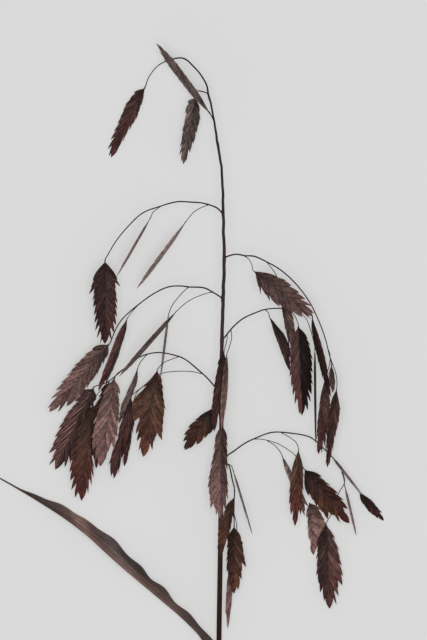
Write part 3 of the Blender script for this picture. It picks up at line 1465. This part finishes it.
class Thread:
    """One round stalk that carries a spikelet: a pedicel of the culm, or part of a branch."""

    def __init__(self, spikelet: str, points: Sequence[Point], size: ThreadSize) -> None:
        """Lead the thread into its spikelet's foot.

        Args:
            spikelet: The node of the spikelet that it carries.
            points: The places on its way there.
            size: Its radii and ends.
        """
        self.size = size
        self.foot, along = foot_and_way(spikelet)
        route = [*points, self.foot - along * size.lead_in, self.foot + along * size.sunk]
        self.path = smooth_route(route, size.step)

    def radius(self, point: Vector, share: float) -> float:
        """Work out how thick the thread is.

        Args:
            point: A point of its path.
            share: That point's share of the way along.

        Returns:
            The radius there in millimetres.
        """
        size = self.size
        radius = blend(size.start, size.end, share)
        radius *= 1.0 + size.uneven * noise.noise(point * 0.35)
        radius *= 1.0 + size.foot_swell * ease(size.foot_span, 0.0, (point - self.foot).length)
        start_gap = (point - self.path[0]).length
        return radius * (1.0 + size.start_swell * ease(size.start_span, 0.0, start_gap))

    def add_to(self, shell: Shell) -> None:
        """Add the thread as one closed rod.

        Args:
            shell: The mesh that takes it.
        """
        radii = [self.radius(*entry) for entry in zip(self.path, steps(len(self.path)))]
        shell.add_rod(self.path, radii, self.size.sides)


@dataclass(frozen=True)
class BranchSize:
    """Thread radii of a branch in millimetres."""

    start: float = 0.40
    end: float = 0.27
    pedicel: float = 0.20


class Branch:
    """One thread-like branch with its side threads."""

    def __init__(self, node: str, size: BranchSize) -> None:
        """Take the branch's node and sizes."""
        self.node = node
        self.size = size

    def build(self, material: bpy.types.Material) -> bpy.types.Object:
        """Build the branch, with its main thread first.

        Args:
            material: The skin of its threads.

        Returns:
            Its mesh object.
        """
        shell = Shell(f"{self.node}_threads")
        origin, (main_thread, *side_threads) = BRANCHES[self.node]
        spikelet, points = main_thread
        main_size = ThreadSize(self.size.start, self.size.end)
        Thread(spikelet, (origin, *points), main_size).add_to(shell)
        side_size = ThreadSize(self.size.pedicel, self.size.pedicel)
        for spikelet, points in side_threads:
            Thread(spikelet, points, side_size).add_to(shell)
        return shell.build(material)


@dataclass(frozen=True)
class CulmSize:
    """Sizes of the culm's finer detail in millimetres; heights are places along Y."""

    sides: int = 20
    step: float = 1.6
    ring_rise: float = 0.16
    ring_length: float = 1.3
    wobble: float = 0.30
    wobble_from: float = -50.0
    wobble_full: float = 20.0
    groove: float = 0.035
    grooves: int = 6
    dark_below: float = -150.0
    light_above: float = 30.0
    lead_in: float = 2.0
    lead_radius: float = 0.24
    sunk: float = 0.3
    sunk_radius: float = 0.32
    pedicel: float = 0.30


class Culm:
    """The main stalk, with the pedicels that leave it directly."""

    def __init__(self, size: CulmSize) -> None:
        """Take the culm's sizes."""
        self.size = size

    def ring(self, y: float) -> float:
        """Return the radius scale of the swollen rings at a height."""
        gaps = ((y - height) / self.size.ring_length for height in CULM_NODES)
        return 1.0 + self.size.ring_rise * sum(math.exp(-gap ** 2) for gap in gaps)

    def groove(self, share: float) -> float:
        """Return the radius scale of the fine grooves at a share of a turn round the culm."""
        return 1.0 - self.size.groove * math.cos(math.tau * self.size.grooves * share)

    def shade(self, point: Vector) -> float:
        """Return how far up the culm's change of colour a point lies, from 0 to 1."""
        return ease(self.size.dark_below, self.size.light_above, point.y)

    def stations(self) -> list[Vector]:
        """Run the culm up to its spikelet's foot.

        Returns:
            Stations of x, y, z and radius from its cut end to inside the spikelet.
        """
        size = self.size
        foot, along = foot_and_way(CULM_SPIKELET)
        ends = ((*(foot - along * size.lead_in), size.lead_radius),
                (*(foot + along * size.sunk), size.sunk_radius))
        return smooth_route((*CULM_ROUTE, *ends), size.step)

    def build(self, material: bpy.types.Material) -> bpy.types.Object:
        """Build the culm.

        Args:
            material: Its skin.

        Returns:
            Its mesh object.
        """
        size = self.size
        shell = Shell("culm_stalk")
        stations = self.stations()
        path = [Vector(station[:3]) for station in stations]
        for point in path:
            bend = size.wobble * ease(size.wobble_from, size.wobble_full, point.y)
            point.x += bend * noise.noise(Vector((point.x, point.y, 0.0)) * 0.22)
        radii = [station[3] * self.ring(station[1]) for station in stations]
        shell.add_rod(path, radii, size.sides, self.groove, self.shade)
        for spikelet, points in CULM_PEDICELS:
            Thread(spikelet, points, ThreadSize(size.pedicel, size.pedicel)).add_to(shell)
        return shell.build(material)


@dataclass(frozen=True)
class LeafSize:
    """Sizes of the leaf in millimetres, with turns in degrees.

    Flare, thinning and swelling are shares. The sheath's lip is how much thinner it gets beside
    its slit.
    """

    sheath_start: float = -164.0
    sheath_end: float = -142.0
    sheath_inner: float = 1.62
    sheath_wall: float = 0.50
    sheath_rows: int = 23
    sheath_columns: int = 33
    ribs: int = 10
    rib: float = 0.035
    flare: float = 0.04
    lip: float = 0.25
    slit: float = 66.0
    slit_turn: float = -20.0
    thickness: float = 0.50
    edge_thinning: float = 0.7
    midrib_swell: float = 0.6
    midrib_width: float = 0.16
    fold: float = 0.10
    vein: float = 0.035
    veins: int = 4
    ripple: float = 0.18
    waviness: float = 0.28
    wave_length: float = 13.0
    wave_crest: float = -1.5
    columns: int = 17
    step: float = 1.5
    sharp: float = 50.0


class Leaf:
    """The slit sheath round the culm's cut end, and the long twisted blade."""

    # Places along X where the blade's waves grow small and where its light changes, and the
    # middle of the sheen's slanting band at the blade's two edges
    WAVES_SETTLE = (-18.0, -34.0)
    TWIST = (-53.0, -45.0)
    DARK_STRIP = (-8.0, -26.0)
    FAR_END = (-68.0, -58.0)
    NEAR_END = (-8.0, 3.0)
    POINT = (-76.0, -90.0)
    SHEEN = (-51.5, -58.5)
    SHEEN_WIDTH = 4.0

    def __init__(self, size: LeafSize) -> None:
        """Take the leaf's sizes."""
        self.size = size

    def build(self, material: bpy.types.Material) -> bpy.types.Object:
        """Build the leaf.

        Args:
            material: Its skin.

        Returns:
            Its mesh object.
        """
        shell = Shell("leaf_blade_and_sheath")
        self.add_sheath(shell)
        self.add_blade(shell)
        return shell.build(material, self.size.sharp)

    def add_sheath(self, shell: Shell) -> None:
        """Add the ribbed sheath as one closed body.

        Args:
            shell: The mesh that takes it.
        """
        size = self.size
        start = math.radians(size.slit_turn + size.slit / 2)
        sweep = math.radians(360.0 - size.slit)
        low, high = Vector(CULM_ROUTE[0][:3]), Vector(CULM_ROUTE[1][:3])
        spots: list[Spot] = []
        for inside in (0, 1):
            for share in steps(size.sheath_rows):
                y = blend(size.sheath_start, size.sheath_end, share)
                centre = low.lerp(high, (y - low.y) / (high.y - low.y))
                flare = 1.0 + size.flare * ease(0.8, 1.0, share)
                for across in steps(size.sheath_columns):
                    turn = start + sweep * across
                    rib = size.rib * math.cos(math.tau * size.ribs * across)
                    outer = size.sheath_inner + size.sheath_wall + rib
                    edge = ease(0.0, 0.10, across) * ease(1.0, 0.90, across)
                    radius = blend(outer - size.lip * (1 - edge), size.sheath_inner, inside)
                    spot = Vector((math.cos(turn), 0.0, math.sin(turn))) * radius * flare
                    spots.append((held_up(centre + spot), (share, across, EVEN),
                                  (share, HALF_LIGHT, 0.0)))
        shell.add(spots, lens_faces(size.sheath_rows, size.sheath_columns))

    def add_blade(self, shell: Shell) -> None:
        """Add the blade as one closed body, twisted and folded a little along its midrib.

        Args:
            shell: The mesh that takes it.
        """
        size = self.size
        stations = smooth_route(BLADE_ROUTE, size.step, held=True)
        path = [Vector(station[:3]) for station in stations]
        top: list[Spot] = []
        bottom: list[Spot] = []
        for index, (point, share) in enumerate(zip(path, steps(len(path)))):
            width, roll = stations[index][3:]
            across, normal = flat_axes(direction(path, index), roll)
            swell = math.cos(math.tau * (point.x - size.wave_crest) / size.wave_length)
            swell *= size.waviness * blend(1.0, 0.35, ease(*self.WAVES_SETTLE, point.x))
            for b in steps(size.columns):
                side = 2.0 * b - 1.0
                vein = size.vein * math.cos(math.tau * size.veins * side)
                ripple = noise.noise(Vector((point.x * 0.16, side, 3.0)))
                lift = width * size.fold * abs(side) ** 1.3 + size.ripple * side * side * ripple
                half = size.thickness / 2 * (1.0 - size.edge_thinning * side * side)
                half *= 1.0 + size.midrib_swell * ease(size.midrib_width, 0.0, abs(side))
                reach = width / 2 * side * (1.0 + swell * max(0.0, side))
                middle = point + across * reach + normal * lift
                light = HALF_LIGHT * self.shade(point.x, b)
                for face, bank in zip(FACES, (top, bottom)):
                    place = held_up(middle + normal * (half + vein) * face)
                    bank.append((place, (share, b, EVEN), (share, light, 0.0)))
        shell.add(top + bottom, lens_faces(len(path), size.columns))

    def shade(self, x: float, across: float) -> float:
        """Work out how light the blade is.

        Args:
            x: The place along X in millimetres.
            across: The share across the blade, from its lower edge.

        Returns:
            The lightness there.
        """
        turned = ease(*self.TWIST, x)
        dark_strip = 1.0 - 0.55 * turned * ease(0.44, 0.56, across) * ease(*self.DARK_STRIP, x)
        pale_strip = 1.0 + 0.55 * turned * ease(0.40, 0.12, across)
        middle = blend(*self.SHEEN, across)
        sheen = 1.0 + 1.1 * math.exp(-(((x - middle) / self.SHEEN_WIDTH) ** 2))
        ends = blend(0.62, 1.0, ease(*self.FAR_END, x)) * blend(1.0, 0.58, ease(*self.NEAR_END, x))
        point = 1.0 + 1.4 * ease(*self.POINT, x)
        return dark_strip * pale_strip * sheen * ends * point


@dataclass(frozen=True)
class StudioSize:
    """Camera, light and floor of the picture; millimetres unless said otherwise.

    The world's light is a strength and the lamp's power is in watts.
    """

    aim: tuple[float, float] = (11.25, 25.9)
    distance: float = 3300.0
    lens: float = 370.0
    sensor: float = 36.0
    nearest: float = 10.0
    farthest: float = 20000.0
    floor: float = 3000.0
    floor_drop: float = 0.04
    world_light: float = 0.50
    world_color: tuple[float, float, float, float] = (1.0, 0.995, 0.99, 1.0)
    lamp_power: float = 12.5
    lamp_size: float = 800.0
    lamp_place: Point = (10.0, -15.0, 1300.0)


class Studio:
    """The plain pale floor, the soft light and the camera that looks straight down."""

    def __init__(self, size: StudioSize) -> None:
        """Take the studio's sizes."""
        self.size = size

    def build(self) -> None:
        """Build the floor, the light and the camera, and set the picture's plain tone curve."""
        self.add_floor(FloorFinish().make())
        self.add_light()
        self.add_camera()
        bpy.context.scene.view_settings.view_transform = "Standard"

    def put(self, name: str, data: bpy.types.ID, place: Sequence[float]) -> bpy.types.Object:
        """Put a mesh, a lamp or a camera in the scene.

        Args:
            name: The object's name.
            data: What it holds.
            place: Where it goes, in millimetres.

        Returns:
            The object.
        """
        holder = bpy.data.objects.new(name, data)
        holder.location = Vector(place) * MM
        bpy.context.scene.collection.objects.link(holder)
        return holder

    def add_floor(self, material: bpy.types.Material) -> None:
        """Lay the floor just under the seed head.

        Args:
            material: Its finish.
        """
        reach = self.size.floor * MM
        height = -self.size.floor_drop * MM
        mesh = bpy.data.meshes.new("floor")
        mesh.from_pydata([(-reach, -reach, height), (reach, -reach, height),
                          (reach, reach, height), (-reach, reach, height)], [], [(0, 1, 2, 3)])
        mesh.materials.append(material)
        self.put("floor", mesh, (0.0, 0.0, 0.0))

    def add_light(self) -> None:
        """Add an even pale surround and one large soft lamp overhead."""
        world = bpy.data.worlds.new("surround")
        world.use_nodes = True
        ground = world.node_tree.nodes["Background"]
        ground.inputs["Color"].default_value = self.size.world_color
        ground.inputs["Strength"].default_value = self.size.world_light
        bpy.context.scene.world = world
        lamp = bpy.data.lights.new("soft_lamp", "AREA")
        lamp.shape = "DISK"
        lamp.size = self.size.lamp_size * MM
        lamp.energy = self.size.lamp_power
        self.put("soft_lamp", lamp, self.size.lamp_place)

    def add_camera(self) -> None:
        """Hang the camera above the seed head, its top towards the seed head's top."""
        size = self.size
        camera = bpy.data.cameras.new("camera")
        camera.lens = size.lens
        camera.sensor_width = size.sensor
        camera.clip_start = size.nearest * MM
        camera.clip_end = size.farthest * MM
        bpy.context.scene.camera = self.put("camera", camera, (*size.aim, size.distance))


class SeedHead:
    """The whole seed head: builds each piece over the CAD node that it stands for."""

    def __init__(self) -> None:
        """Make the finishes that its pieces share."""
        self.husks = {finish.tone: finish.make() for finish in HUSK_FINISHES}
        self.culm = CULM_FINISH.make()
        self.threads = THREAD_FINISH.make()
        self.leaf = LEAF_FINISH.make()

    def stand_in(self, piece: bpy.types.Object, node: str, slot: str) -> None:
        """Put a piece in the place of its CAD node.

        Args:
            piece: The finer piece.
            node: The node that it stands for.
            slot: The record's slot for its finish.
        """
        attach(piece, "root")
        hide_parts(node)
        LOG.info("%s: %d faces for %s", piece.name, len(piece.data.polygons), node)

    def build(self) -> None:
        """Build every piece: the culm, the leaf, the branches and then the spikelets."""
        self.stand_in(Culm(CulmSize()).build(self.culm), "culm", "stem_skin")
        self.stand_in(Leaf(LeafSize()).build(self.leaf), "leaf", "leaf_blade")
        for node in BRANCHES:
            self.stand_in(Branch(node, BranchSize()).build(self.threads), node, "stem_skin")
        for number, (node, entry) in enumerate(SPIKELETS.items(), start=1):
            size = SpikeletSize(node, *entry, THIN.get(node, PLUMP))
            piece = Spikelet(size).build(self.husks[size.tone])
            self.stand_in(piece, node, self.slot_of(number))

    @staticmethod
    def slot_of(number: int) -> str:
        """Return the record slot of a spikelet by its number."""
        listed = (slot for slot, numbers in SLOT_NUMBERS.items() if number in numbers)
        return next(listed, "husk_red_brown")


def main() -> None:
    """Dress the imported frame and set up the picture."""
    logging.basicConfig(level=logging.INFO, format="%(name)s: %(message)s")
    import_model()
    SeedHead().build()
    Studio(StudioSize()).build()


if __name__ == "__main__":
    main()
